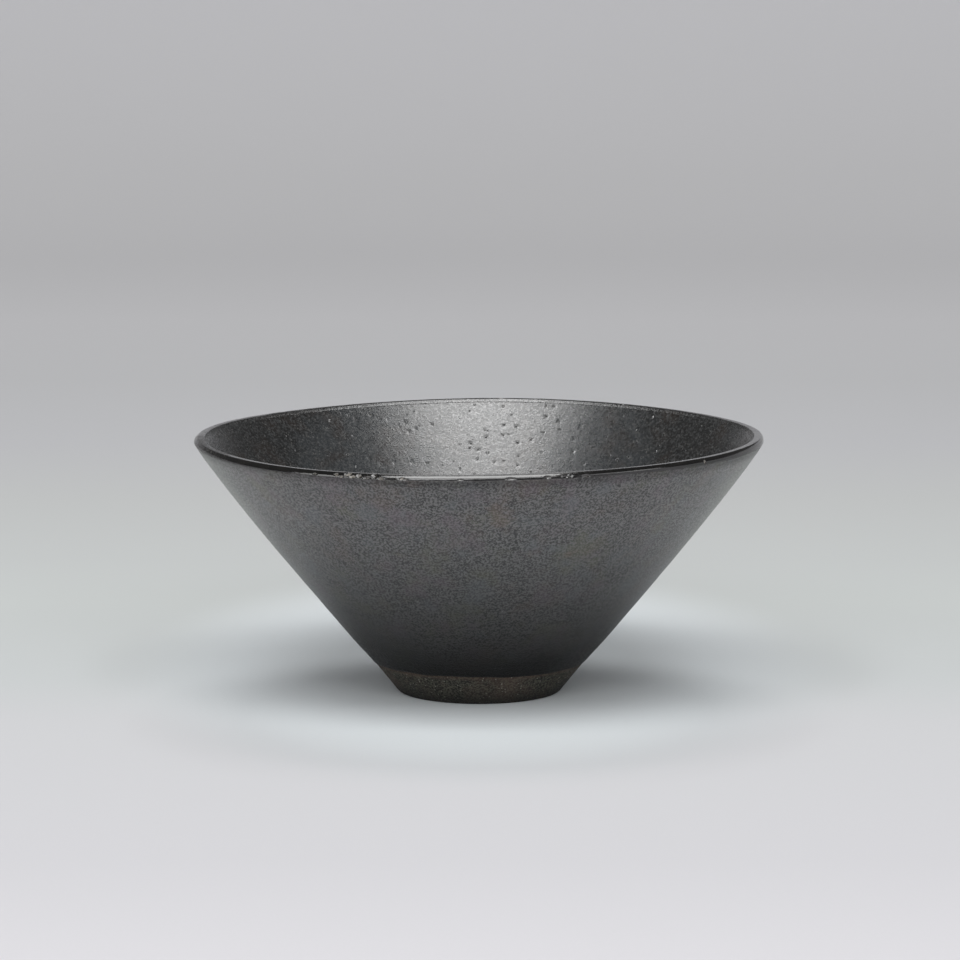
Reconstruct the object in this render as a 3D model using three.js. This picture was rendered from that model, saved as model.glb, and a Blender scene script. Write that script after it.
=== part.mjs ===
import * as THREE from 'three';

// A cone-shaped stoneware serving bowl: one thrown and turned body under three coats of glaze.
// Lengths are in millimetres and +Z is up. The origin is the middle of the foot, on the table.

// The bowl as a whole
const rimRadius = 90; // to the widest point of the lip, over the glaze
const bowlHeight = 82; // from the table to the crest of the lip, over the glaze
const lipThickness = 4; // across the rounded lip, over the glaze on both sides
const wallSwell = 1.3; // the most that the outer wall bulges past a straight line
const baseWallThickness = 7.6; // of the clay wall, measured level at the inside floor

// The inside floor
const floorHeight = 10; // from the table to the inside floor, over the glaze
const wellRound = 14; // radius of the curve from the inside floor up into the wall

// The foot
const footRadius = 25.8; // where the line of the outer wall meets the table
const footRingWidth = 6.2; // across the turned ring that the bowl stands on
const footEdgeRound = 1.4; // on the two edges of that ring
const recessDepth = 3.6; // from the table up to the underside
const recessRound = 1.8; // where the ring runs into the underside

// The glaze
const glazeThickness = 0.6;
const bareBandHeight = 10; // of clay that the outer glaze leaves uncovered above the table

// How finely the curves are cut
const roundSegments = 72;
const wallSteps = 7;
const lipSteps = 6;
const wellSteps = 5;
const edgeSteps = 3;

const swellPeak = 4 / 27; // the largest value of u * u * (1 - u), two thirds of the way up
const wallLean = Math.atan2(rimRadius - footRadius, bowlHeight);
const lipRadius = lipThickness / 2;
const lipCentre = new THREE.Vector2(rimRadius - lipRadius, bowlHeight - lipRadius);
const clayLipRadius = lipRadius - glazeThickness;
const clayFloorHeight = floorHeight - glazeThickness;

function onArc(centre, radius, angle) {
  return new THREE.Vector2(centre.x + radius * Math.cos(angle), centre.y + radius * Math.sin(angle));
}

function arc(centre, radius, fromAngle, toAngle, steps) {
  const points = [];
  for (let i = 0; i <= steps; i += 1) {
    points.push(onArc(centre, radius, THREE.MathUtils.lerp(fromAngle, toAngle, i / steps)));
  }
  return points;
}

// Clay at the top of each wall, where the round of the lip begins and ends. The outer wall runs
// straight into the lip and leaves an edge there, and the inner wall is smooth with it.
const edgeReach = (lipRadius * Math.cos(wallLean) - glazeThickness) / clayLipRadius;
const edgeTurn = Math.acos(edgeReach) - wallLean;
const outerTop = onArc(lipCentre, clayLipRadius, edgeTurn);
const innerTop = onArc(lipCentre, clayLipRadius, Math.PI - wallLean);

function swell(share) {
  return (wallSwell * share * share * (1 - share)) / swellPeak;
}

function outerClayRadius(height) {
  const share = height / outerTop.y;
  return THREE.MathUtils.lerp(footRadius, outerTop.x, share) + swell(share);
}

const innerBaseRadius = outerClayRadius(clayFloorHeight) - baseWallThickness;

function innerClayRadius(height) {
  const share = (height - clayFloorHeight) / (innerTop.y - clayFloorHeight);
  return THREE.MathUtils.lerp(innerBaseRadius, innerTop.x, share) + swell(share);
}

function wallPoints(radiusAt, fromHeight, toHeight) {
  const points = [];
  for (let i = 0; i <= wallSteps; i += 1) {
    const height = THREE.MathUtils.lerp(fromHeight, toHeight, i / wallSteps);
    points.push(new THREE.Vector2(radiusAt(height), height));
  }
  return points;
}

// The curve that joins the inside floor to the wall, from its upper end down to the floor
function wellCurve() {
  const lean = Math.atan2(innerTop.x - innerBaseRadius, innerTop.y - clayFloorHeight);
  const turn = Math.PI / 2 - lean;
  const reach = wellRound * Math.tan(turn / 2);
  const centre = new THREE.Vector2(innerBaseRadius - reach, clayFloorHeight + wellRound);
  return arc(centre, wellRound, turn - Math.PI / 2, -Math.PI / 2, wellSteps);
}

// The clay under all the glaze: up the outer wall, over the lip, down the inner wall, to the axis.
// The coat of the lip starts at the edge and ends where the inner wall begins.
function glazedClay() {
  const wall = wallPoints(outerClayRadius, bareBandHeight, outerTop.y);
  const lip = arc(lipCentre, clayLipRadius, edgeTurn, Math.PI - wallLean, lipSteps);
  const well = wellCurve();
  const inner = wallPoints(innerClayRadius, innerTop.y, well[0].y);
  const middle = new THREE.Vector2(0, clayFloorHeight);
  return {
    outer: wall.slice(0, -1),
    lip,
    inner: [...inner.slice(1, -1), ...well, middle],
  };
}

// The bare underside, from the axis out to the foot ring and up to the start of the outer wall
function bareFoot() {
  const ringInner = footRadius - footRingWidth;
  const round = Math.min(recessRound, recessDepth - footEdgeRound);
  const ceilingCentre = new THREE.Vector2(ringInner - round, recessDepth - round);
  const ceiling = arc(ceilingCentre, round, Math.PI / 2, 0, edgeSteps);
  const innerEdgeCentre = new THREE.Vector2(ringInner + footEdgeRound, footEdgeRound);
  const innerEdge = arc(innerEdgeCentre, footEdgeRound, Math.PI, Math.PI * 1.5, edgeSteps);
  const turn = Math.PI / 2 - wallLean;
  const reach = footEdgeRound * Math.tan(turn / 2);
  const outerEdgeCentre = new THREE.Vector2(footRadius - reach, footEdgeRound);
  const outerEdge = arc(outerEdgeCentre, footEdgeRound, -Math.PI / 2, turn - Math.PI / 2, edgeSteps);
  return [new THREE.Vector2(0, recessDepth), ...ceiling, ...innerEdge, ...outerEdge];
}

// The outside of an even coat on a line of clay, which is drawn with the clay on its left
function coatOver(line, thickness) {
  return line.map((point, i) => {
    const before = line[Math.max(i - 1, 0)];
    const after = line[Math.min(i + 1, line.length - 1)];
    const along = after.clone().sub(before).normalize();
    return new THREE.Vector2(point.x + along.y * thickness, point.y - along.x * thickness);
  });
}

function turned(name, profile, finish) {
  const geometry = new THREE.LatheGeometry(profile, roundSegments);
  geometry.rotateX(Math.PI / 2);
  const mesh = new THREE.Mesh(geometry, new THREE.MeshStandardMaterial(finish));
  mesh.name = name;
  return mesh;
}

const parts = glazedClay();
const clay = [...parts.outer, ...parts.lip, ...parts.inner];
const glaze = coatOver(clay, glazeThickness);
const lipStart = parts.outer.length;
const lipEnd = lipStart + parts.lip.length - 1;
const middle = clay.length - 1;

// Over the glaze the edge under the lip is sharp, and it is the widest point of the bowl
glaze[lipStart].set(rimRadius, lipCentre.y);

// The section of one coat: back along the clay under it, then out along its own surface
function coatSection(from, to) {
  return [...clay.slice(from, to + 1).reverse(), ...glaze.slice(from, to + 1)];
}

function closed(section) {
  return [...section, section[0].clone()];
}

const bowl = new THREE.Group();

bowl.add(turned('clay_body', [...bareFoot(), ...clay], {
  color: 0x4b463e, roughness: 0.9, metalness: 0,
}));

bowl.add(turned('outer_glaze', closed(coatSection(0, lipStart)), {
  color: 0x2b2827, roughness: 0.45, metalness: 0,
}));

bowl.add(turned('rim_glaze', closed(coatSection(lipStart, lipEnd)), {
  color: 0x0e0c0b, roughness: 0.15, metalness: 0,
}));

bowl.add(turned('inner_glaze', coatSection(lipEnd, middle), {
  color: 0x161310, roughness: 0.2, metalness: 0,
}));

export default bowl;
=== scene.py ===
import math
import bpy
import numpy as np
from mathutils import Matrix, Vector, noise


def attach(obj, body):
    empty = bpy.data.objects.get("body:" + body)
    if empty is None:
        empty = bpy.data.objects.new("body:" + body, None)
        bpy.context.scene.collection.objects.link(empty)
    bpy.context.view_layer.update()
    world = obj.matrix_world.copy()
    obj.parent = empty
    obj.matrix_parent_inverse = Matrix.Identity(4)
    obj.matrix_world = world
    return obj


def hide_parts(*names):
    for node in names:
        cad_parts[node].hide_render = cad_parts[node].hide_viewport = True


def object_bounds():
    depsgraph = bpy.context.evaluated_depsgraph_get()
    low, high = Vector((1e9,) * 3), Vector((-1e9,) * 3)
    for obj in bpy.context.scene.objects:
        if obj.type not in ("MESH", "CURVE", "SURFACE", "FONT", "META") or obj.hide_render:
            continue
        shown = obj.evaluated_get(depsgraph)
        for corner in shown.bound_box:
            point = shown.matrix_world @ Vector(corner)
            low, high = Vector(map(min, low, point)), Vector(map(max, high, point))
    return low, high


# A cone-shaped stoneware bowl on a pale studio sweep. Four turned pieces stand for the CAD's four
# solids: the bare clay, the satin glaze outside, the glossy lip and the pitted glaze inside.
# Lengths are in metres, and +Z is up the bowl's axis.

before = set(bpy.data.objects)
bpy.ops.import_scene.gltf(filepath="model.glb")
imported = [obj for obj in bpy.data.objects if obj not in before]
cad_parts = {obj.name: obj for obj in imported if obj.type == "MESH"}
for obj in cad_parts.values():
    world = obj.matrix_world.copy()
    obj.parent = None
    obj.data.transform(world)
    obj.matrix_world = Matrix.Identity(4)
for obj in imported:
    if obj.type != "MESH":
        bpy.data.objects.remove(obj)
cadLow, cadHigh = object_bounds()
mm = 0.001

# the bowl's section

bowlForm = {
    "rimRadius": cadHigh.x,        # widest point of the lip
    "height": cadHigh.z,
    "lipThickness": 4 * mm,
    "wallSwell": 1.3 * mm,         # how far the wall bulges past a straight line
    "floorHeight": 10 * mm,
    "floorWall": 7.6 * mm,         # wall of clay, measured level at the inside floor
    "wellRound": 14 * mm,          # curve from the inside floor up into the wall
    "footRadius": 25.8 * mm,
    "ringWidth": 6.2 * mm,
    "edgeRound": 1.4 * mm,
    "recessDepth": 3.6 * mm,
    "recessRound": 1.8 * mm,
    "glaze": 0.6 * mm,
    "bareBand": 10 * mm,
    # the lip's surface as lengths, each with the way that it faces at its far end, in degrees above
    # level: the lower edge, the bevel, the shoulder, the top and the quick round into the bowl
    "lipFrom": -20,
    "lipRuns": [(0.10 * mm, 12), (0.62 * mm, 16), (0.06 * mm, 30), (0.88 * mm, 42),
                (0.45 * mm, 84), (0.30 * mm, 91), (1.60 * mm, 96), (0.18 * mm, 142)],
    "lipLead": 3 * mm,             # length over which each wall leads into the lip
    # how the rim rises and dips round the bowl: height and phase of one, two, three and four waves
    "rimWaves": [(0.577 * mm, 1.990), (0.159 * mm, -3.116), (0.245 * mm, -2.293), (0.180 * mm, 1.817)],
    "outOfRound": 0.25 * mm,
    "ovalTurn": 1.9,
    # the lip's lower edge sinks on the right and rises on the left: how much, how far it lies below
    # the crest, where that fades out above and below it and inwards from the rim, and the wall's slope
    "edgeDrop": 0.22 * mm,
    "edgeBelow": 1.8 * mm,
    "slideFade": (0.2 * mm, 1.6 * mm),
    "slideDepth": (3.4 * mm, 1.6 * mm),
    "wallSlope": 0.78,
}


def onArc(centre, radius, angles):
    angles = np.asarray(angles, float)
    return np.stack([centre[0] + radius * np.cos(angles), centre[1] + radius * np.sin(angles)], axis=-1)


def alongLine(line):
    # distance from the start of a line to each of its points
    steps = np.hypot(*np.diff(line, axis=0).T)
    return np.concatenate([[0], np.cumsum(steps)])


def outwardOf(line):
    # unit vectors square to a line, to its right as it is drawn
    along = np.gradient(line, axis=0)
    along /= np.hypot(*along.T)[:, None]
    return np.stack([along[:, 1], -along[:, 0]], axis=-1)


def claySection(form):
    # the clay's outline as four lines: the bare foot, the glazed wall, the lip and the inside
    lean = math.atan2(form["rimRadius"] - form["footRadius"], form["height"])
    lipCentre = (form["rimRadius"] - form["lipThickness"] / 2, form["height"] - form["lipThickness"] / 2)
    lipRadius = form["lipThickness"] / 2 - form["glaze"]
    edgeReach = (form["lipThickness"] / 2 * math.cos(lean) - form["glaze"]) / lipRadius
    edgeTurn = math.acos(edgeReach) - lean
    outerTop = onArc(lipCentre, lipRadius, edgeTurn)
    innerTop = onArc(lipCentre, lipRadius, math.pi - lean)
    floor = form["floorHeight"] - form["glaze"]

    def swell(share):
        return form["wallSwell"] * share ** 2 * (1 - share) * 27 / 4

    def outerRadius(height):
        share = height / outerTop[1]
        return form["footRadius"] + (outerTop[0] - form["footRadius"]) * share + swell(share)

    innerBase = outerRadius(floor) - form["floorWall"]

    def innerRadius(height):
        share = (height - floor) / (innerTop[1] - floor)
        return innerBase + (innerTop[0] - innerBase) * share + swell(share)

    # the foot, from the middle of the recess out to the ring and round its outer edge
    ringInner = form["footRadius"] - form["ringWidth"]
    recess = onArc((ringInner - form["recessRound"], form["recessDepth"] - form["recessRound"]),
                   form["recessRound"], np.linspace(math.pi / 2, 0, 9))
    innerEdge = onArc((ringInner + form["edgeRound"], form["edgeRound"]),
                      form["edgeRound"], np.linspace(math.pi, 1.5 * math.pi, 9))
    turn = math.pi / 2 - lean
    reach = form["edgeRound"] * math.tan(turn / 2)
    outerEdge = onArc((form["footRadius"] - reach, form["edgeRound"]),
                      form["edgeRound"], np.linspace(-math.pi / 2, turn - math.pi / 2, 9))
    bandHeights = np.linspace(outerEdge[-1, 1], form["bareBand"], 30)[1:]
    band = np.stack([outerRadius(bandHeights), bandHeights], axis=-1)
    foot = np.concatenate([[[0, form["recessDepth"]]], recess, innerEdge, outerEdge, band])

    # the wall from the glaze line up, and the lip over its crest
    wallHeights = np.linspace(form["bareBand"], outerTop[1], 400)
    wall = np.stack([outerRadius(wallHeights), wallHeights], axis=-1)
    lip = onArc(lipCentre, lipRadius, np.linspace(edgeTurn, math.pi - lean, 60))

    # inside, from the lip down the wall, round the well and across the floor to the axis
    innerLean = math.atan2(innerTop[0] - innerBase, innerTop[1] - floor)
    wellTurn = math.pi / 2 - innerLean
    wellReach = form["wellRound"] * math.tan(wellTurn / 2)
    wellCentre = (innerBase - wellReach, floor + form["wellRound"])
    well = onArc(wellCentre, form["wellRound"], np.linspace(wellTurn - math.pi / 2, -math.pi / 2, 40))
    innerHeights = np.linspace(innerTop[1], well[0, 1], 400)
    innerWall = np.stack([innerRadius(innerHeights), innerHeights], axis=-1)
    innerFloor = np.stack([np.linspace(well[-1, 0], 0, 40), np.full(40, floor)], axis=-1)
    inside = np.concatenate([innerWall[:-1], well, innerFloor[1:]])
    return foot, wall, lip, inside


def lipSurface(form):
    # the lip's own line, walked from the sharp edge over the crest and into the bowl
    lengths, faces = zip(*form["lipRuns"])
    stops = np.concatenate([[0], np.cumsum(lengths)])
    walked = np.linspace(0, stops[-1], 600)
    facing = np.radians(np.interp(walked, stops, [form["lipFrom"], *faces]))
    step = walked[1]
    line = np.stack([-np.cumsum(np.sin(facing)), np.cumsum(np.cos(facing))], axis=-1) * step
    return line + np.array([form["rimRadius"], form["height"]]) - line.max(axis=0)


def ledTo(line, end, target, reach):
    # a line whose first or last stretch is bent so that it meets the target
    along = alongLine(line)
    away = along if end == 0 else along[-1] - along
    return line + (1 - fade(away, 0, reach))[:, None] * (target - line[end])


def followLine(line):
    # a function that gives point and outward direction at any distance along the line
    along = alongLine(line)
    keep = np.concatenate([[True], np.diff(along) > 1e-9])
    line, along = line[keep], along[keep]
    outward = outwardOf(line)

    def at(distance):
        point = np.stack([np.interp(distance, along, line[:, k]) for k in (0, 1)], axis=-1)
        out = np.stack([np.interp(distance, along, outward[:, k]) for k in (0, 1)], axis=-1)
        return point, out / np.linalg.norm(out, axis=-1, keepdims=True)

    return at, along[-1]


def fade(value, low, high):
    share = np.clip((value - low) / (high - low), 0, 1)
    return share * share * (3 - 2 * share)


foot, wall, lip, inside = claySection(bowlForm)
lipShown = lipSurface(bowlForm)
wallShown = ledTo(wall + outwardOf(wall) * bowlForm["glaze"], -1, lipShown[0], bowlForm["lipLead"])
insideShown = ledTo(inside + outwardOf(inside) * bowlForm["glaze"], 0, lipShown[-1], bowlForm["lipLead"])
insideShown[-1, 0] = 0
footAt, footLength = followLine(foot)
wallAt, wallLength = followLine(wallShown)
lipAt, lipLength = followLine(lipShown)
insideAt, insideLength = followLine(insideShown)


def handMade(points, form):
    # the small unevenness of the whole thrown form, nothing at the foot and most at the rim
    x, y, z = points.T
    rise = np.clip(z / form["height"], 0, None) ** 2
    turn = np.arctan2(y, x)
    radius = np.hypot(x, y)
    lift = sum(size * np.sin(k * turn + phase) for k, (size, phase) in enumerate(form["rimWaves"], 1))
    grow = 1 + form["outOfRound"] * np.sin(2 * turn + form["ovalTurn"]) / form["rimRadius"] * rise
    # the lip's lower edge slides up or down the wall
    nearEdge = 1 - fade(np.abs(z - (form["height"] - form["edgeBelow"])), *form["slideFade"])
    deep, full = form["slideDepth"]
    nearEdge *= fade(radius, form["rimRadius"] - deep, form["rimRadius"] - full)
    slide = -form["edgeDrop"] * np.cos(turn) * nearEdge
    grow += form["wallSlope"] * slide / form["rimRadius"]
    return np.stack([x * grow, y * grow, z + lift * rise + slide], axis=-1)


def noiseOver(points, scale, stretch=(1, 1, 1), octaves=1, shift=0.0):
    # smooth noise from about -1 to 1 at each point, with features about 1 / scale metres across
    scaled = points * np.array(stretch) * scale + shift
    if octaves == 1:
        return np.array([noise.noise(p) for p in scaled.tolist()])
    return np.array([noise.fractal(p, 1.0, 2.0, octaves) for p in scaled.tolist()])


# turned meshes

class TurnedSkin:
    # A grid wrapped round the bowl. Each point has its turn (0 to 1), its distance along the
    # section line and its lift off that line.

    def __init__(self, columns, distances):
        self.columns = columns
        self.distances = np.asarray(distances, float)
        rows = len(self.distances)
        self.turns = np.tile(np.arange(columns) / columns, rows)
        self.along = np.repeat(self.distances, columns)
        self.lift = np.zeros(rows * columns)
        self.taken = np.zeros((rows - 1, columns), bool)
        self.extraFaces = []

    def addPits(self, pits, sectionAt):
        # Each pit or bump takes the place of the cells it covers, with rings of points of its own,
        # so that it is real relief in a coarser grid.
        turns, along, lift = [self.turns], [self.along], [self.lift]
        count = len(self.turns)
        ringPoints = 10
        for turn, distance, radius, depth, rim, phase in pits:
            around = 2 * math.pi * sectionAt(distance)[0][0]
            reach = 1.4 * radius
            low = int(np.searchsorted(self.distances, distance - reach)) - 1
            high = int(np.searchsorted(self.distances, distance + reach))
            left = math.floor((turn - reach / around) * self.columns)
            right = math.ceil((turn + reach / around) * self.columns)
            if around < 30 * radius or low < 1 or high > len(self.distances) - 2:
                continue
            block = np.ix_(range(low, high), [c % self.columns for c in range(left, right)])
            if self.taken[block].any():
                continue
            self.taken[block] = True
            edge = [(low, c) for c in range(left, right)]
            edge += [(r, right) for r in range(low, high)]
            edge += [(high, c) for c in range(right, left, -1)]
            edge += [(r, left) for r in range(high, low, -1)]
            edgeIds = [r * self.columns + c % self.columns for r, c in edge]
            edgeAngles = [math.atan2(self.distances[r] - distance, (c / self.columns - turn) * around)
                          for r, c in edge]
            angles = 2 * math.pi * np.arange(ringPoints) / ringPoints - math.pi
            ragged = 1 + 0.18 * np.sin(2 * angles + phase) + 0.1 * np.sin(3 * angles + 2.3 * phase)
            rings = []
            for share, height in ((1.2, 0), (0.95, rim), (0.7, -0.55 * depth), (0.4, -0.92 * depth)):
                spread = radius * share * (ragged if share < 1 else 1)
                turns.append(turn + spread * np.cos(angles) / around)
                along.append(distance + spread * np.sin(angles))
                lift.append(np.full(ringPoints, height))
                rings.append(list(range(count, count + ringPoints)))
                count += ringPoints
            turns.append([turn])
            along.append([distance])
            lift.append([-depth])
            self.extraFaces += stitchLoops(edgeIds, edgeAngles, rings[0], list(angles))
            for k in range(ringPoints):
                n = (k + 1) % ringPoints
                for outer, inner in zip(rings, rings[1:]):
                    self.extraFaces.append((outer[k], outer[n], inner[n], inner[k]))
                self.extraFaces.append((rings[-1][k], rings[-1][n], count))
            count += 1
        self.turns = np.concatenate(turns)
        self.along = np.concatenate(along)
        self.lift = np.concatenate(lift)

    def faces(self):
        rows, here = np.nonzero(~self.taken)
        after = (here + 1) % self.columns
        lower, upper = rows * self.columns, (rows + 1) * self.columns
        grid = np.stack([lower + here, lower + after, upper + after, upper + here], axis=-1)
        return grid.tolist() + self.extraFaces


def stitchLoops(outerIds, outerAngles, innerIds, innerAngles):
    # triangles between two closed loops that run the same way round one point
    start = int(np.argmin(outerAngles))
    outerIds = outerIds[start:] + outerIds[:start]
    outerAngles = outerAngles[start:] + outerAngles[:start] + [outerAngles[start] + 2 * math.pi]
    innerAngles = innerAngles + [innerAngles[0] + 2 * math.pi]
    faces = []
    a, b = 0, 0
    while a < len(outerIds) or b < len(innerIds):
        outer, inner = outerIds[a % len(outerIds)], innerIds[b % len(innerIds)]
        innerIsDone = b == len(innerIds)
        if innerIsDone or (a < len(outerIds) and outerAngles[a + 1] <= innerAngles[b + 1]):
            a += 1
            faces.append((outer, outerIds[a % len(outerIds)], inner))
        else:
            b += 1
            faces.append((outer, innerIds[b % len(innerIds)], inner))
    return faces


def swept(section, turns):
    angles = 2 * math.pi * np.asarray(turns)
    radius, height = section.T
    return np.stack([radius * np.cos(angles), radius * np.sin(angles), height], axis=-1)


def skinPoints(skin, sectionAt, lift):
    section, outward = sectionAt(skin.along)
    return swept(section + outward * lift[:, None], skin.turns)


def addRings(points, faces, columns, fromRing, line, toRing):
    # rings of points along a line, joined to a ring that is there already at either end;
    # a point of the line on the axis becomes one point
    stops = [] if fromRing is None else [(fromRing, True)]
    added = [points]
    count = len(points)
    turns = np.arange(columns) / columns
    for radius, height in line:
        onAxis = radius < 1e-6
        stops.append((count, not onAxis))
        size = 1 if onAxis else columns
        added.append(swept(np.tile([[radius, height]], (size, 1)), turns[:size]))
        count += size
    if toRing is not None:
        stops.append((toRing, True))
    here = np.arange(columns)
    after = (here + 1) % columns
    for (a, aIsRing), (b, bIsRing) in zip(stops, stops[1:]):
        if aIsRing and bIsRing:
            faces += np.stack([a + here, a + after, b + after, b + here], axis=-1).tolist()
        elif aIsRing:
            faces += np.stack([a + here, a + after, np.full(columns, b)], axis=-1).tolist()
        elif bIsRing:
            faces += np.stack([np.full(columns, a), b + after, b + here], axis=-1).tolist()
    return np.concatenate(added)


def buildPiece(name, node, points, faces, finish):
    points = handMade(points, bowlForm)
    mesh = bpy.data.meshes.new(name)
    mesh.from_pydata(points.tolist(), [], faces)
    mesh.polygons.foreach_set("use_smooth", [True] * len(mesh.polygons))
    mesh.materials.append(finish)
    piece = bpy.data.objects.new(name, mesh)
    bpy.context.scene.collection.objects.link(piece)
    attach(piece, "root")
    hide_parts(node)
    triangles = sum(len(face) - 2 for face in faces)
    print(name, "has", len(points), "points and", triangles, "triangles")
    return piece


# shader helpers and the effects that the finishes share

def put(tree, kind, sockets=None, **settings):
    # a new node; a socket takes a plain value or another node's output
    node = tree.nodes.new(kind)
    for key, value in settings.items():
        setattr(node, key, value)
    for key, value in (sockets or {}).items():
        if isinstance(value, bpy.types.NodeSocket):
            tree.links.new(value, node.inputs[key])
        else:
            node.inputs[key].default_value = value
    return node


def calc(tree, operation, first, second=0.0):
    return put(tree, "ShaderNodeMath", {0: first, 1: second}, operation=operation).outputs[0]


def vectorCalc(tree, operation, first, second):
    return put(tree, "ShaderNodeVectorMath", {0: first, 1: second}, operation=operation).outputs[0]


def lengthOf(tree, vector):
    return put(tree, "ShaderNodeVectorMath", {0: vector}, operation="LENGTH").outputs["Value"]


def added(tree, *terms):
    # a sum of effects, each with its weight
    total = None
    for value, weight in terms:
        term = calc(tree, "MULTIPLY", value, weight)
        total = term if total is None else calc(tree, "ADD", total, term)
    return total


def mixed(tree, share, first, second):
    node = put(tree, "ShaderNodeMix", data_type="RGBA")
    for index, value in ((0, share), (6, first), (7, second)):
        if isinstance(value, bpy.types.NodeSocket):
            tree.links.new(value, node.inputs[index])
        elif isinstance(value, tuple):
            node.inputs[index].default_value = (*value, 1)
        else:
            node.inputs[index].default_value = value
    return node.outputs[2]


def ranged(tree, value, fromLow, fromHigh, toLow=0.0, toHigh=1.0, soft=False):
    # one range of values carried over to another, in a straight line or with soft ends
    sockets = {"Value": value, "From Min": fromLow, "From Max": fromHigh,
               "To Min": toLow, "To Max": toHigh}
    kind = "SMOOTHSTEP" if soft else "LINEAR"
    return put(tree, "ShaderNodeMapRange", sockets, interpolation_type=kind).outputs["Result"]


def newGroup(name, inputs, output):
    # inputs are (name, kind, value); every group here puts out one value
    tree = bpy.data.node_groups.new(name, "ShaderNodeTree")
    for label, kind, value in inputs:
        socket = tree.interface.new_socket(label, in_out="INPUT", socket_type=kind)
        if value is not None:
            socket.default_value = value
    tree.interface.new_socket(output, in_out="OUTPUT", socket_type="NodeSocketFloat")
    source = tree.nodes.new("NodeGroupInput")
    result = tree.nodes.new("NodeGroupOutput")
    return tree, source.outputs, result.inputs[output]


def makeThrowingLines():
    # the potter's fine turning lines: noise drawn out round the bowl and crowded up its height
    tree, given, result = newGroup("throwingLines", [
        ("Place", "NodeSocketVector", None),
        ("Lines per metre", "NodeSocketFloat", 700.0),
        ("Wander", "NodeSocketFloat", 14.0),
    ], "Lines")
    wander = given["Wander"]
    squeeze = put(tree, "ShaderNodeCombineXYZ", {0: wander, 1: wander, 2: given["Lines per metre"]})
    place = vectorCalc(tree, "MULTIPLY", given["Place"], squeeze.outputs[0])
    lines = put(tree, "ShaderNodeTexNoise", {"Vector": place, "Scale": 1.0, "Detail": 2.0,
                                            "Roughness": 0.6})
    tree.links.new(lines.outputs["Fac"], result)
    return tree


def makeMottle():
    # soft cloudy patches, from 0 to 1
    tree, given, result = newGroup("mottle", [
        ("Place", "NodeSocketVector", None),
        ("Patches per metre", "NodeSocketFloat", 80.0),
        ("Low", "NodeSocketFloat", 0.45),
        ("High", "NodeSocketFloat", 0.65),
        ("Seed", "NodeSocketFloat", 0.0),
    ], "Patches")
    moved = vectorCalc(tree, "ADD", given["Place"], given["Seed"])
    cloud = put(tree, "ShaderNodeTexNoise", {"Vector": moved, "Detail": 4.0, "Roughness": 0.6,
                                            "Scale": given["Patches per metre"]})
    edge = ranged(tree, cloud.outputs["Fac"], given["Low"], given["High"], soft=True)
    tree.links.new(edge, result)
    return tree


def makeSpecks():
    # scattered round specks: pinholes, sand grains or iron spots
    tree, given, result = newGroup("specks", [
        ("Place", "NodeSocketVector", None),
        ("Specks per metre", "NodeSocketFloat", 400.0),
        ("Size", "NodeSocketFloat", 0.3),
        ("Share", "NodeSocketFloat", 0.3),
        ("Seed", "NodeSocketFloat", 0.0),
    ], "Specks")
    moved = vectorCalc(tree, "ADD", given["Place"], given["Seed"])
    cells = put(tree, "ShaderNodeTexVoronoi", {"Vector": moved, "Scale": given["Specks per metre"]})
    core = calc(tree, "MULTIPLY", given["Size"], 0.45)
    dot = ranged(tree, cells.outputs["Distance"], given["Size"], core, soft=True)
    draw = put(tree, "ShaderNodeSeparateColor", {0: cells.outputs["Color"]})
    chosen = calc(tree, "LESS_THAN", draw.outputs[0], given["Share"])
    tree.links.new(calc(tree, "MULTIPLY", dot, chosen), result)
    return tree


def makePlacedPatch():
    # one soft-edged patch at a given place on the bowl
    tree, given, result = newGroup("placedPatch", [
        ("Place", "NodeSocketVector", None),
        ("Centre", "NodeSocketVector", (0, 0, 0)),
        ("Size", "NodeSocketVector", (0.01, 0.01, 0.01)),
        ("Ragged", "NodeSocketFloat", 0.5),
        ("Notches per metre", "NodeSocketFloat", 260.0),
    ], "Patch")
    offset = vectorCalc(tree, "SUBTRACT", given["Place"], given["Centre"])
    shares = vectorCalc(tree, "DIVIDE", offset, given["Size"])
    wobble = put(tree, "ShaderNodeTexNoise", {"Vector": given["Place"], "Detail": 3.0,
                                             "Scale": given["Notches per metre"]})
    shift = calc(tree, "MULTIPLY", calc(tree, "SUBTRACT", wobble.outputs["Fac"], 0.5), given["Ragged"])
    reach = calc(tree, "ADD", lengthOf(tree, shares), shift)
    tree.links.new(ranged(tree, reach, 1.0, 0.55, soft=True), result)
    return tree


def makeHeightFade():
    # a share that runs from 0 to 1 between two heights on the bowl
    tree, given, result = newGroup("heightFade", [
        ("Place", "NodeSocketVector", None),
        ("None at", "NodeSocketFloat", 0.0),
        ("Full at", "NodeSocketFloat", 0.01),
    ], "Share")
    height = put(tree, "ShaderNodeSeparateXYZ", {0: given["Place"]}).outputs["Z"]
    tree.links.new(ranged(tree, height, given["None at"], given["Full at"]), result)
    return tree


throwingLines = makeThrowingLines()
mottle = makeMottle()
specks = makeSpecks()
placedPatch = makePlacedPatch()
heightFade = makeHeightFade()


def effect(tree, group, place, **values):
    # a shared group placed in a finish, with this finish's own values
    node = put(tree, "ShaderNodeGroup", node_tree=group)
    tree.links.new(place, node.inputs["Place"])
    for key, value in values.items():
        label = key[0].upper() + "".join(" " + c.lower() if c.isupper() else c for c in key[1:])
        node.inputs[label].default_value = value
    return node.outputs[0]


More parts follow.
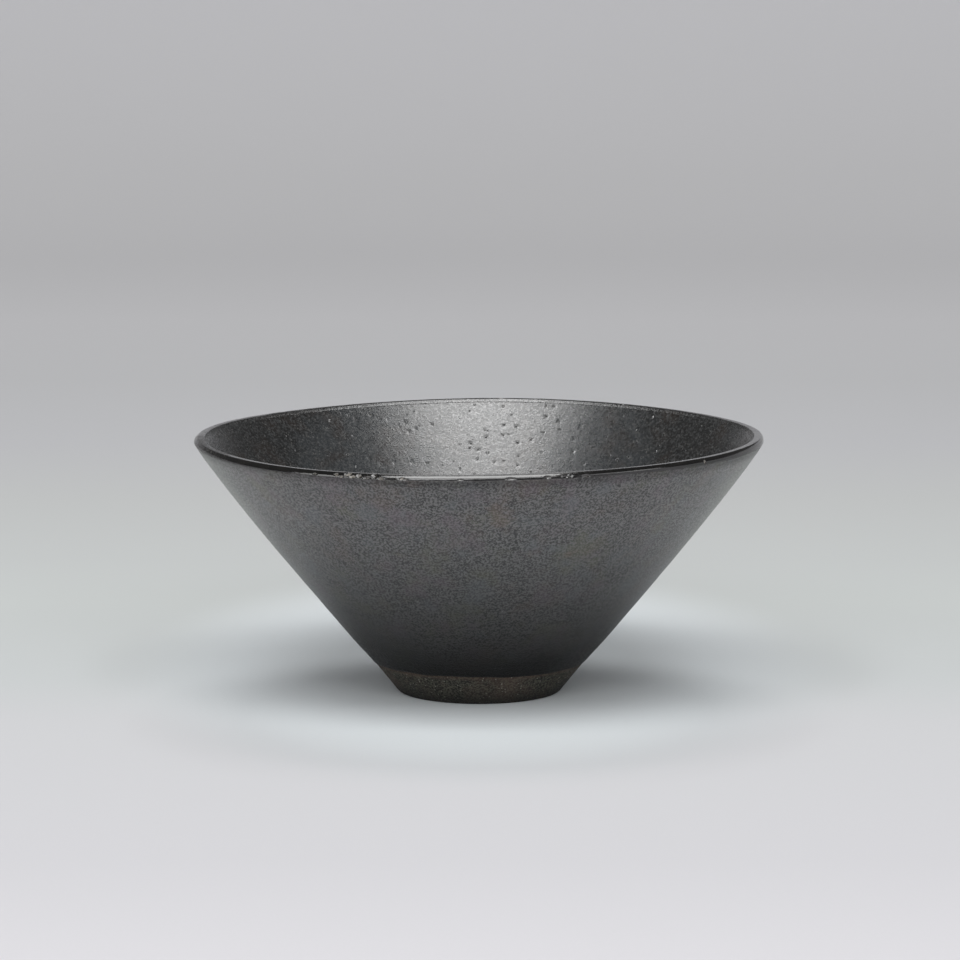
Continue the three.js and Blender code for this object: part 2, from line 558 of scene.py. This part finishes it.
def newFinish(name, roughness, ior):
    finish = bpy.data.materials.new(name)
    finish.use_nodes = True
    tree = finish.node_tree
    tree.nodes.clear()
    surface = put(tree, "ShaderNodeBsdfPrincipled", {"Roughness": roughness, "IOR": ior})
    output = put(tree, "ShaderNodeOutputMaterial")
    tree.links.new(surface.outputs["BSDF"], output.inputs["Surface"])
    place = put(tree, "ShaderNodeTexCoord").outputs["Object"]
    return finish, tree, surface, place


def bumpBy(tree, surface, height, distance):
    bump = put(tree, "ShaderNodeBump", {"Height": height, "Distance": distance, "Strength": 1.0})
    tree.links.new(bump.outputs["Normal"], surface.inputs["Normal"])


print("shared effects ready")

# the outer glaze

outerGlaze = {
    "columns": 480,
    "rows": 196,
    "edgeRows": 11,                # of these, in the lowest stretch, which is this long
    "edgeStretch": 1.6 * mm,
    "edgeRoll": 1.0 * mm,          # round of the glaze's lower edge
    "rollShare": 0.35,             # share of the thickness that the round reaches
    "edgeThin": 12 * mm,           # how far up the glaze takes to reach its full thickness
    # waves of that edge: number round the bowl, height and phase
    "edgeWaves": [(3, 0.30 * mm, 1.2), (7, 0.18 * mm, 0.4), (16, 0.12 * mm, 0.0)],
    "waveReach": 6 * mm,
    # relief: its height, and how often it changes to each metre
    "fineRings": (0.012 * mm, (20, 20, 700)),
    "broadRings": (0.04 * mm, (9, 9, 190)),
    "lumps": (0.06 * mm, 45),
    "evenEnds": (1 * mm, 1.2 * mm),    # the relief fades out over this much below and above
    "colour": (0.155, 0.151, 0.150),
    "darkColour": (0.004, 0.004, 0.004),
    "rustColour": (0.125, 0.085, 0.066),
    "oliveColour": (0.100, 0.100, 0.070),
    "plumColour": (0.110, 0.086, 0.100),
    "blueColour": (0.096, 0.104, 0.112),
    "speckColour": (0.34, 0.33, 0.31),
    "footShade": 0.97,             # darker just above the foot: thicker glaze and painted shade
    "lipShade": 0.35,              # painted shade just under the lip
    "roughness": 0.42,
    "ior": 1.3,
    "coat": 0.75,                  # share of the smoother coat at the top of the wall
    "coatRoughness": 0.30,
    "coatIor": 1.65,
    # patches that the kiln left at places of their own: centre, size and share, in metres
    "rustPatches": [((0.006, -0.080, 0.071), (0.005, 0.006, 0.008), 0.4),
                    ((0.023, -0.062, 0.055), (0.011, 0.006, 0.0022), 0.55),
                    ((0.022, -0.048, 0.040), (0.004, 0.006, 0.0025), 0.45)],
    "darkRun": ((0.018, -0.033, 0.0140), (0.015, 0.009, 0.0042), 0.55),
    "darkRunColour": (0.008, 0.007, 0.006),
}


def finishOuterGlaze(values):
    finish, tree, surface, place = newFinish("outerGlazeFinish", values["roughness"], values["ior"])
    lines = effect(tree, throwingLines, place, linesPerMetre=900.0, wander=18.0)
    bands = effect(tree, throwingLines, place, linesPerMetre=220.0, wander=9.0)
    grain = effect(tree, mottle, place, patchesPerMetre=1500.0, low=0.45, high=0.56)
    blotches = effect(tree, mottle, place, patchesPerMetre=800.0, low=0.42, high=0.58, seed=12.0)
    cloud = effect(tree, mottle, place, patchesPerMetre=120.0, low=0.3, high=0.7, seed=3.0)
    shade = added(tree, (lines, 0.22), (grain, 0.50), (cloud, 0.10), (blotches, 0.18))
    colour = mixed(tree, shade, values["darkColour"], values["colour"])
    for seed, tint, share in ((8.0, "rustColour", 0.3), (15.0, "oliveColour", 0.6),
                              (27.0, "plumColour", 0.6), (34.0, "blueColour", 0.6)):
        stain = effect(tree, mottle, place, patchesPerMetre=85.0, low=0.52, high=0.7, seed=seed)
        colour = mixed(tree, calc(tree, "MULTIPLY", stain, share), colour, values[tint])
    for centre, size, share in values["rustPatches"]:
        patch = effect(tree, placedPatch, place, centre=centre, size=size, ragged=2.2)
        colour = mixed(tree, calc(tree, "MULTIPLY", patch, share), colour, values["rustColour"])
    centre, size, share = values["darkRun"]
    patch = effect(tree, placedPatch, place, centre=centre, size=size, ragged=1.0)
    colour = mixed(tree, calc(tree, "MULTIPLY", patch, share), colour, values["darkRunColour"])
    flecks = effect(tree, specks, place, specksPerMetre=420.0, size=0.13, share=0.10)
    colour = mixed(tree, calc(tree, "MULTIPLY", flecks, 0.5), colour, values["speckColour"])
    # painted shade: the wall darkens towards black from 68 mm down to 12 mm, partly for the thicker
    # glaze there and partly for the shade under the bowl
    thickGlazeAndShade = effect(tree, heightFade, place, noneAt=68 * mm, fullAt=12 * mm)
    colour = mixed(tree, calc(tree, "MULTIPLY", thickGlazeAndShade, values["footShade"]), colour, (0, 0, 0))
    # painted shade under the lip: the top 2 mm of the wall is darkened, and its coat thinned, where the
    # lip overhangs it
    paintedLipShade = effect(tree, heightFade, place, noneAt=77.6 * mm, fullAt=79.6 * mm)
    paintedLipShade = calc(tree, "MULTIPLY", paintedLipShade, values["lipShade"])
    colour = mixed(tree, paintedLipShade, colour, (0, 0, 0))
    coat = effect(tree, heightFade, place, noneAt=15 * mm, fullAt=62 * mm)
    coat = calc(tree, "MULTIPLY", coat, values["coat"])
    coat = calc(tree, "MULTIPLY", coat, calc(tree, "SUBTRACT", 1.0, paintedLipShade))
    coat = calc(tree, "MULTIPLY", coat, ranged(tree, grain, 0.0, 1.0, 0.6, 1.3))
    tree.links.new(coat, surface.inputs["Coat Weight"])
    surface.inputs["Coat Roughness"].default_value = values["coatRoughness"]
    surface.inputs["Coat IOR"].default_value = values["coatIor"]
    tree.links.new(colour, surface.inputs["Base Color"])
    rough = ranged(tree, grain, 0.0, 1.0, values["roughness"] - 0.06, values["roughness"] + 0.08)
    tree.links.new(rough, surface.inputs["Roughness"])
    relief = added(tree, (lines, 0.7), (grain, 0.6), (bands, 1.5), (flecks, 0.8))
    bumpBy(tree, surface, relief, 0.05 * mm)
    return finish


def makeOuterGlaze(values, form):
    lowRows, lowEnd = values["edgeRows"], values["edgeStretch"]
    distances = np.concatenate([np.linspace(0, lowEnd, lowRows + 1)[:-1],
                                np.linspace(lowEnd, wallLength, values["rows"] - lowRows)])
    skin = TurnedSkin(values["columns"], distances)
    flat, _ = wallAt(skin.along)
    base = swept(flat, skin.turns)
    turn = 2 * math.pi * skin.turns
    edge = sum(size * np.sin(count * turn + phase) for count, size, phase in values["edgeWaves"])
    skin.along = skin.along + edge * (1 - fade(skin.along, 0, values["waveReach"]))
    fromEdge = np.repeat(skin.distances, skin.columns)
    share = np.clip(fromEdge / values["edgeRoll"], 0, 1)
    thickness = values["rollShare"] * np.sqrt(1 - (1 - share) ** 2)
    thickness += (1 - values["rollShare"]) * fade(fromEdge, 0, values["edgeThin"])
    thickness *= form["glaze"]
    size, stretch = values["fineRings"]
    relief = size * noiseOver(base, 1, stretch, 2)
    size, stretch = values["broadRings"]
    relief += size * noiseOver(base, 1, stretch, 1, 5.0)
    size, scale = values["lumps"]
    relief += size * noiseOver(base, scale, shift=11.0)
    below, above = values["evenEnds"]
    relief *= fade(fromEdge, 0, below) * (1 - fade(fromEdge, wallLength - above, wallLength))
    points = skinPoints(skin, wallAt, thickness - form["glaze"] + relief)
    faces = skin.faces()
    lastRing = (len(distances) - 1) * skin.columns
    points = addRings(points, faces, skin.columns, lastRing, wall[::-28], 0)
    finish = finishOuterGlaze(values)
    return buildPiece("satinGlazeOutside", "outer_glaze", points, faces, finish)


makeOuterGlaze(outerGlaze, bowlForm)

# the lip

lipGlaze = {
    "columns": 1700,
    "rows": 44,
    # unevenness: its height, and how often it changes to each metre
    "wander": (0.03 * mm, 160),
    "fineWander": (0.0045 * mm, 700),
    "chipRaggedness": 1400,
    "evenEnds": (0.15 * mm, 0.4 * mm),  # the unevenness fades out over this much at either edge
    "colour": (0.002, 0.0018, 0.0016),
    "cloudColour": (0.007, 0.006, 0.005),
    "clayColour": (0.17, 0.155, 0.13),
    "roughness": 0.12,
    "ior": 1.85,
    "roughEnd": ((-0.086, -0.030, 0.081), (0.014, 0.036, 0.006)),
    # chips: turn round the rim in degrees (270 is the front), place over the lip, half length,
    # half height and depth in mm, and how much clay shows
    "chips": [
        (236.5, 0.60, 0.7, 0.30, 0.20, 0.5), (241.2, 1.10, 0.8, 0.40, 0.22, 0.7),
        (242.6, 0.40, 0.6, 0.30, 0.20, 0.8), (243.9, 1.30, 1.2, 0.50, 0.26, 0.9),
        (244.9, 0.60, 0.9, 0.40, 0.24, 1.0), (246.3, 1.00, 0.7, 0.60, 0.26, 0.5),
        (248.0, 0.50, 1.3, 0.50, 0.30, 0.2), (249.6, 1.20, 0.8, 0.60, 0.28, 0.1),
        (250.7, 0.40, 0.9, 0.40, 0.26, 0.6), (255.0, 0.50, 0.7, 0.40, 0.24, 1.0),
        (255.8, 0.30, 0.5, 0.25, 0.18, 0.5), (266.4, 0.40, 0.5, 0.25, 0.18, 0.5),
        (276.0, 0.50, 1.1, 0.35, 0.22, 0.1), (283.2, 0.60, 0.7, 0.40, 0.22, 0.1),
        (287.0, 0.70, 1.6, 0.50, 0.20, 0.0), (291.0, 0.40, 1.0, 0.40, 0.18, 0.1),
        (320.0, 0.80, 0.4, 0.50, 0.20, 1.0), (85.0, 2.60, 2.2, 0.50, 0.24, 0.2),
        (76.0, 2.90, 0.6, 0.60, 0.24, 0.2), (57.0, 3.40, 0.8, 0.50, -0.22, 0.0),
    ],
}


def finishLipGlaze(values):
    finish, tree, surface, place = newFinish("lipGlazeFinish", values["roughness"], values["ior"])
    cloud = effect(tree, mottle, place, patchesPerMetre=200.0, low=0.35, high=0.7, seed=3.0)
    grain = effect(tree, mottle, place, patchesPerMetre=1300.0, low=0.3, high=0.7)
    grit = effect(tree, specks, place, specksPerMetre=900.0, size=0.35, share=0.3, seed=2.0)
    colour = mixed(tree, cloud, values["colour"], values["cloudColour"])
    centre, size = values["roughEnd"]
    worn = effect(tree, placedPatch, place, centre=centre, size=size, ragged=0.8)
    wornGrit = calc(tree, "MULTIPLY", grit, worn)
    bare = calc(tree, "MULTIPLY", wornGrit, 0.5)
    for turn, walked, length, height, depth, clay in values["chips"]:
        if clay > 0:
            section, _ = lipAt(np.array([walked * mm]))
            centre = handMade(swept(section, [turn / 360]), bowlForm)[0]
            spread = (length * mm, length * mm, 1.3 * height * mm)
            chip = effect(tree, placedPatch, place, centre=tuple(centre), size=spread, ragged=2.4,
                          notchesPerMetre=1400.0)
            bare = calc(tree, "MAXIMUM", bare, calc(tree, "MULTIPLY", chip, clay))
    colour = mixed(tree, bare, colour, values["clayColour"])
    tree.links.new(colour, surface.inputs["Base Color"])
    rough = ranged(tree, grain, 0.0, 1.0, values["roughness"] - 0.04, values["roughness"] + 0.04)
    rough = calc(tree, "ADD", rough, added(tree, (worn, 0.15), (bare, 0.4)))
    tree.links.new(rough, surface.inputs["Roughness"])
    bumpBy(tree, surface, added(tree, (grain, 0.6), (wornGrit, 6.0)), 0.012 * mm)
    return finish


def makeLipGlaze(values, form):
    distances = np.linspace(0, lipLength, values["rows"])
    skin = TurnedSkin(values["columns"], distances)
    flat, _ = lipAt(skin.along)
    base = swept(flat, skin.turns)
    size, scale = values["wander"]
    lift = size * noiseOver(base, scale)
    size, scale = values["fineWander"]
    lift += size * noiseOver(base, scale, octaves=2)
    ragged = noiseOver(base, values["chipRaggedness"], octaves=2)
    for turn, walked, length, height, depth, _ in values["chips"]:
        across = ((skin.turns * 360 - turn + 180) % 360 - 180) / 360 * 2 * math.pi * form["rimRadius"]
        reach = (across / (length * mm)) ** 2 + ((skin.along - walked * mm) / (height * mm)) ** 2
        lift -= depth * mm * np.exp(-reach ** 1.5) * (1 + 0.7 * ragged)
    outerEnd, innerEnd = values["evenEnds"]
    lift *= fade(skin.along, 0, outerEnd) * (1 - fade(skin.along, lipLength - innerEnd, lipLength))
    points = skinPoints(skin, lipAt, lift)
    faces = skin.faces()
    lastRing = (len(distances) - 1) * skin.columns
    points = addRings(points, faces, skin.columns, lastRing, lip[::-6], 0)
    return buildPiece("glossGlazeLip", "rim_glaze", points, faces, finishLipGlaze(values))


makeLipGlaze(lipGlaze, bowlForm)

# the inner glaze

innerGlaze = {
    "columns": 440,
    "rows": 92,
    "pits": 900,
    "bumps": 220,
    "seed": 7,
    # pits and bumps: radius in mm, how common each pit is, and depth or height to that radius
    "pitRadii": [0.25, 0.32, 0.40, 0.50],
    "pitShares": [0.35, 0.35, 0.22, 0.08],
    "pitDepths": (0.5, 0.9),
    "pitRim": 0.10,                # raised rim of a pit, to its radius
    "bumpRadii": (0.4, 0.8),
    "bumpHeights": (0.2, 0.4),
    # radius of the inside at the lowest and highest pits, and at the wall's foot and top, and the
    # share of the section line that the wall takes
    "pitsBetween": (0.012, 0.086),
    "wallBetween": (0.0258, 0.0862),
    "wallShare": 0.77,
    # relief: its height, and how often it changes to each metre
    "ripple": (0.035 * mm, 110),
    "swell": (0.05 * mm, 30),
    "inPitDepths": (0.02 * mm, 0.15 * mm),  # where a pit's own finish begins and is full
    "evenEnd": 1.5 * mm,           # left even below the lip, and left open round the axis
    "colour": (0.002, 0.0018, 0.0016),
    "rustColour": (0.014, 0.008, 0.005),
    "hazeColour": (0.004, 0.005, 0.0055),
    "crystalColour": (0.064, 0.066, 0.067),
    "milkAndHighlightColour": (0.024, 0.028, 0.031),
    "pitColour": (0.003, 0.0025, 0.002),
    "glintColour": (0.120, 0.117, 0.110),
    "roughness": 0.28,
    "ior": 2.15,
    # milky blue-grey areas of the inside, partly painted highlight at either side of the overhead
    # light's reflection: centre, size and share, in metres
    "milkAndHighlightPatches": [((-0.036, 0.055, 0.060), (0.030, 0.040, 0.045), 0.9),
                    ((0.036, 0.055, 0.060), (0.026, 0.040, 0.045), 0.8)],
}


def finishInnerGlaze(values):
    finish, tree, surface, place = newFinish("innerGlazeFinish", values["roughness"], values["ior"])
    haze = effect(tree, mottle, place, patchesPerMetre=45.0, low=0.35, high=0.7, seed=3.0)
    rust = effect(tree, mottle, place, patchesPerMetre=80.0, low=0.48, high=0.72, seed=21.0)
    grain = effect(tree, mottle, place, patchesPerMetre=3000.0, low=0.3, high=0.7, seed=2.0)
    dapple = effect(tree, mottle, place, patchesPerMetre=1300.0, low=0.3, high=0.7, seed=1.0)
    pinholes = effect(tree, specks, place, specksPerMetre=420.0, size=0.2, share=0.35)
    glints = effect(tree, specks, place, specksPerMetre=1100.0, size=0.42, share=0.16, seed=5.0)
    soot = effect(tree, specks, place, specksPerMetre=1300.0, size=0.42, share=0.25, seed=9.0)
    inPit = put(tree, "ShaderNodeAttribute", attribute_name="inPit").outputs["Fac"]
    colour = mixed(tree, haze, values["colour"], values["hazeColour"])
    # milky blue-grey glaze, partly a painted highlight that widens the overhead light's reflection on
    # the back wall
    for centre, size, share in values["milkAndHighlightPatches"]:
        milkAndHighlight = effect(tree, placedPatch, place, centre=centre, size=size, ragged=0.6)
        colour = mixed(tree, calc(tree, "MULTIPLY", milkAndHighlight, share), colour, values["milkAndHighlightColour"])
    colour = mixed(tree, calc(tree, "MULTIPLY", rust, 0.8), colour, values["rustColour"])
    crystals = effect(tree, mottle, place, patchesPerMetre=1200.0, low=0.50, high=0.58, seed=17.0)
    colour = mixed(tree, calc(tree, "MULTIPLY", crystals, 0.65), colour, values["crystalColour"])
    colour = mixed(tree, calc(tree, "MULTIPLY", glints, 0.7), colour, values["glintColour"])
    colour = mixed(tree, calc(tree, "MAXIMUM", pinholes, inPit), colour, values["pitColour"])
    tree.links.new(colour, surface.inputs["Base Color"])
    rough = ranged(tree, dapple, 0.0, 1.0, values["roughness"] - 0.08, values["roughness"] + 0.10)
    rough = calc(tree, "ADD", rough, added(tree, (soot, 0.10), (inPit, 0.6)))
    tree.links.new(rough, surface.inputs["Roughness"])
    lumps = effect(tree, mottle, place, patchesPerMetre=520.0, low=0.35, high=0.65, seed=31.0)
    relief = added(tree, (dapple, 0.25), (grain, 0.3), (lumps, 0.35), (pinholes, -0.6))
    bumpBy(tree, surface, relief, 0.05 * mm)
    return finish


def scatterPits(values):
    draw = np.random.default_rng(values["seed"])
    pits = []
    lowest, highest = values["pitsBetween"]
    wallFoot, wallTop = values["wallBetween"]
    for kind in range(values["pits"] + values["bumps"]):
        # more of the wall is near the rim, so places are drawn by area
        share = draw.random()
        reach = math.sqrt(share * (highest ** 2 - lowest ** 2) + lowest ** 2)
        distance = (wallTop - reach) / (wallTop - wallFoot) * insideLength * values["wallShare"]
        turn = draw.random()
        phase = draw.uniform(0, 6.28)
        if kind < values["pits"]:
            radius = draw.choice(values["pitRadii"], p=values["pitShares"]) * mm
            depth = radius * draw.uniform(*values["pitDepths"])
            pits.append((turn, distance, radius, depth, values["pitRim"] * radius, phase))
        else:
            radius = draw.uniform(*values["bumpRadii"]) * mm
            height = radius * draw.uniform(*values["bumpHeights"])
            pits.append((turn, distance, radius, -height, 0.0, phase))
    return pits


def makeInnerGlaze(values):
    distances = np.linspace(0, insideLength - values["evenEnd"], values["rows"])
    skin = TurnedSkin(values["columns"], distances)
    skin.addPits(scatterPits(values), insideAt)
    flat, _ = insideAt(skin.along)
    base = swept(flat, skin.turns)
    size, scale = values["ripple"]
    relief = size * noiseOver(base, scale, octaves=2)
    size, scale = values["swell"]
    relief += size * noiseOver(base, scale, shift=4.0)
    relief *= fade(skin.along, 0, values["evenEnd"])
    points = skinPoints(skin, insideAt, relief + skin.lift)
    faces = skin.faces()
    back = np.concatenate([insideShown[-1:], inside[:0:-36], inside[:1]])
    lastRing = (len(distances) - 1) * skin.columns
    points = addRings(points, faces, skin.columns, lastRing, back, 0)
    finish = finishInnerGlaze(values)
    piece = buildPiece("pittedGlazeInside", "inner_glaze", points, faces, finish)
    # how deep in a pit each point is, for the finish
    inPit = np.zeros(len(points))
    inPit[:len(skin.lift)] = fade(-skin.lift, *values["inPitDepths"])
    piece.data.attributes.new("inPit", "FLOAT", "POINT").data.foreach_set("value", inPit)
    return piece


makeInnerGlaze(innerGlaze)

# the bare clay

bareClay = {
    "columns": 720,
    "rows": 110,
    # relief: its height, and how often it changes to each metre
    "grit": (0.035 * mm, 1400),
    "turningMarks": (0.03 * mm, (30, 30, 900)),
    "middle": 4 * mm,              # radius of the plain middle of the underside
    "flatReach": 0.6 * mm,         # height over which the ring's flat face has no outward relief
    "colour": (0.072, 0.070, 0.052),
    "darkColour": (0.010, 0.009, 0.007),
    "speckColour": (0.34, 0.33, 0.28),
    "rustColour": (0.110, 0.072, 0.055),
    "flashColour": (0.085, 0.050, 0.036),
    "contactShade": 0.7,               # painted shade: how much darker the clay is at its lower edge
    "roughness": 0.85,
    "ior": 1.45,
}


def finishBareClay(values):
    finish, tree, surface, place = newFinish("bareClayFinish", values["roughness"], values["ior"])
    grain = effect(tree, mottle, place, patchesPerMetre=1500.0, low=0.45, high=0.56, seed=2.0)
    cloud = effect(tree, mottle, place, patchesPerMetre=90.0, low=0.4, high=0.7, seed=6.0)
    lines = effect(tree, throwingLines, place, linesPerMetre=1100.0, wander=25.0)
    sand = effect(tree, specks, place, specksPerMetre=1000.0, size=0.28, share=0.30)
    colour = mixed(tree, grain, values["darkColour"], values["colour"])
    colour = mixed(tree, calc(tree, "MULTIPLY", cloud, 0.4), colour, values["rustColour"])
    flashed = effect(tree, heightFade, place, noneAt=8.6 * mm, fullAt=9.8 * mm)
    colour = mixed(tree, calc(tree, "MULTIPLY", flashed, 0.45), colour, values["flashColour"])
    colour = mixed(tree, calc(tree, "MULTIPLY", sand, 0.7), colour, values["speckColour"])
    # painted shade where the foot stands on the table: the clay darkens towards black from 6 mm down to
    # 1 mm
    paintedContactShade = effect(tree, heightFade, place, noneAt=6 * mm, fullAt=1 * mm)
    colour = mixed(tree, calc(tree, "MULTIPLY", paintedContactShade, values["contactShade"]), colour, (0, 0, 0))
    tree.links.new(colour, surface.inputs["Base Color"])
    bumpBy(tree, surface, added(tree, (grain, 0.8), (sand, 0.6), (lines, 0.5)), 0.12 * mm)
    return finish


def makeBareClay(values, form):
    distances = np.linspace(values["middle"], footLength, values["rows"])
    skin = TurnedSkin(values["columns"], distances)
    flat, _ = footAt(skin.along)
    base = swept(flat, skin.turns)
    size, scale = values["grit"]
    relief = size * noiseOver(base, scale, octaves=2)
    size, stretch = values["turningMarks"]
    relief += size * noiseOver(base, 1, stretch, 1, 3.0)
    # the ring stands flat on the table, so there the relief only goes in
    onTable = 1 - fade(flat[:, 1], 0, values["flatReach"])
    relief = relief * (1 - onTable) - np.abs(relief) * onTable
    points = skinPoints(skin, footAt, relief)
    points[:, 2] = np.maximum(points[:, 2], 0)
    faces = skin.faces()
    lastRing = (len(distances) - 1) * skin.columns
    hidden = np.concatenate([wall[28::28], lip[::6], inside[36:-1:36], inside[-1:]])
    points = addRings(points, faces, skin.columns, lastRing, hidden, None)
    points = addRings(points, faces, skin.columns, None, [(0, form["recessDepth"])], 0)
    return buildPiece("bareClayBody", "clay_body", points, faces, finishBareClay(values))


makeBareClay(bareClay, bowlForm)

# studio: sweep, lights and camera

studio = {
    "columns": 128,
    "floorSteps": 12,
    "curveSteps": 15,
    "floorRadius": 1.38,
    "sweepRound": 0.9,
    "sweepTurn": 64,               # degrees of the sweep's curve, which ends about 0.5 m up
    # the paper's colour at distances behind the bowl (negative in front of it), its changes painted
    # light and shade for how the light falls off over the floor and up the backdrop
    "paper": [(-0.34, (0.675, 0.668, 0.694)), (-0.24, (0.640, 0.637, 0.661)),
              (-0.05, (0.645, 0.651, 0.666)), (0.02, (0.628, 0.653, 0.657)),
              (0.16, (0.631, 0.658, 0.650)), (0.25, (0.609, 0.630, 0.627)),
              (0.40, (0.598, 0.611, 0.610)), (0.56, (0.588, 0.593, 0.611)),
              (0.78, (0.592, 0.596, 0.609)), (1.03, (0.640, 0.639, 0.654)),
              (1.60, (0.634, 0.633, 0.645)), (1.84, (0.656, 0.655, 0.675))],
    # painted light round the bowl's place, which lifts the bowl's shadow on the floor: its middle, how
    # its reach is drawn out front to back, and the distances from the middle at which it is full and at
    # which it has faded out
    "paintedLightColour": (0.81, 0.855, 0.875),
    "nearCentre": (0, 0.040, 0),
    "nearSquash": (1, 0.62, 1),
    "nearFull": 0.070,
    "nearFade": 0.125,
    "aim": (0, 0, 0.05),           # where the softboxes point
    "world": (0.105, 0.105, 0.106),
}

camera = {
    "lens": 176.5,
    "sensor": 36,
    "place": (0, -1.4792, 0.2888),
    "pitch": 8.51,                 # degrees that it looks down
    "yaw": 0.0085,                 # degrees to the right
}

# each softbox: place and size in metres, and brightness, where a brightness of 1 looks as bright as
# white paper in full light
softboxes = {
    "overheadBox": {"place": (-0.06, -0.99, 2.01), "size": (2.07, 0.93), "brightness": 5.1},
    "frontBox": {"place": (0.0, -2.4, 1.45), "size": (3.0, 0.7), "brightness": 3.5},
    "leftBox": {"place": (-2.1, -1.2, 1.15), "size": (1.6, 0.7), "brightness": 2.2},
    "rightBox": {"place": (2.1, -1.2, 1.15), "size": (1.6, 0.7), "brightness": 1.8},
    "backBox": {"place": (0.0, 1.5, 2.83), "size": (1.3, 0.9), "brightness": 6.4},
}


def makeSweep(values):
    steps = values["floorSteps"]
    line = [(values["floorRadius"] * k / steps, 0) for k in range(1, steps + 1)]
    corner = (values["floorRadius"], values["sweepRound"])
    curve = np.linspace(0, math.radians(values["sweepTurn"]), values["curveSteps"] + 1) - math.pi / 2
    line += [tuple(p) for p in onArc(corner, values["sweepRound"], curve)[1:]]
    faces = []
    points = addRings(np.zeros((0, 3)), faces, values["columns"], None, [(0, 0)] + line, None)
    mesh = bpy.data.meshes.new("paperSweep")
    mesh.from_pydata(points.tolist(), [], faces)
    mesh.polygons.foreach_set("use_smooth", [True] * len(mesh.polygons))
    sweep = bpy.data.objects.new("paperSweep", mesh)
    bpy.context.scene.collection.objects.link(sweep)
    finish, tree, surface, place = newFinish("paperFinish", 0.95, 1.4)
    fibre = effect(tree, mottle, place, patchesPerMetre=900.0, low=0.3, high=0.7)
    # painted light and shade: the paper's tone and tint change front to back to follow how the light
    # falls off
    first, last = values["paper"][0][0], values["paper"][-1][0]
    behind = put(tree, "ShaderNodeSeparateXYZ", {0: place}).outputs["Y"]
    ramp = put(tree, "ShaderNodeValToRGB", {0: ranged(tree, behind, first, last)})
    stops = ramp.color_ramp.elements
    for distance, colour in values["paper"][1:-1]:
        stops.new((distance - first) / (last - first)).color = (*colour, 1)
    stops[0].color = (*values["paper"][0][1], 1)
    stops[-1].color = (*values["paper"][-1][1], 1)
    # painted light: the paper is lighter round the bowl, so that the bowl's shadow on the floor is
    # lifted
    offset = vectorCalc(tree, "SUBTRACT", place, values["nearCentre"])
    away = lengthOf(tree, vectorCalc(tree, "MULTIPLY", offset, values["nearSquash"]))
    paintedLightShare = ranged(tree, away, values["nearFade"], values["nearFull"], soft=True)
    tone = mixed(tree, paintedLightShare, ramp.outputs["Color"], values["paintedLightColour"])
    tone = mixed(tree, calc(tree, "MULTIPLY", fibre, 0.04), tone, (0.5, 0.5, 0.5))
    tree.links.new(tone, surface.inputs["Base Color"])
    surface.inputs["Specular IOR Level"].default_value = 0.2
    mesh.materials.append(finish)


def addSoftbox(name, box, aim):
    lamp = bpy.data.lights.new(name, "AREA")
    lamp.shape = "RECTANGLE"
    lamp.size, lamp.size_y = box["size"]
    lamp.energy = box["brightness"] * math.pi * lamp.size * lamp.size_y
    stand = bpy.data.objects.new(name, lamp)
    stand.location = box["place"]
    stand.rotation_euler = (Vector(aim) - stand.location).to_track_quat("-Z", "Y").to_euler()
    stand.visible_camera = False
    bpy.context.scene.collection.objects.link(stand)


def makeWorld(values):
    world = bpy.data.worlds.new("studioRoom")
    world.use_nodes = True
    sky = world.node_tree.nodes["Background"]
    sky.inputs["Color"].default_value = (*values["world"], 1)
    bpy.context.scene.world = world


def makeCamera(values):
    lens = bpy.data.cameras.new("photoCamera")
    lens.lens = values["lens"]
    lens.sensor_width = values["sensor"]
    eye = bpy.data.objects.new("photoCamera", lens)
    eye.location = values["place"]
    pitch, yaw = math.radians(values["pitch"]), math.radians(values["yaw"])
    eye.rotation_euler = (math.pi / 2 - pitch, 0, -yaw)
    bpy.context.scene.collection.objects.link(eye)
    bpy.context.scene.camera = eye


makeSweep(studio)
makeWorld(studio)
for name, box in softboxes.items():
    addSoftbox(name, box, studio["aim"])
makeCamera(camera)
bpy.context.scene.view_settings.view_transform = "Standard"
print("studio ready")
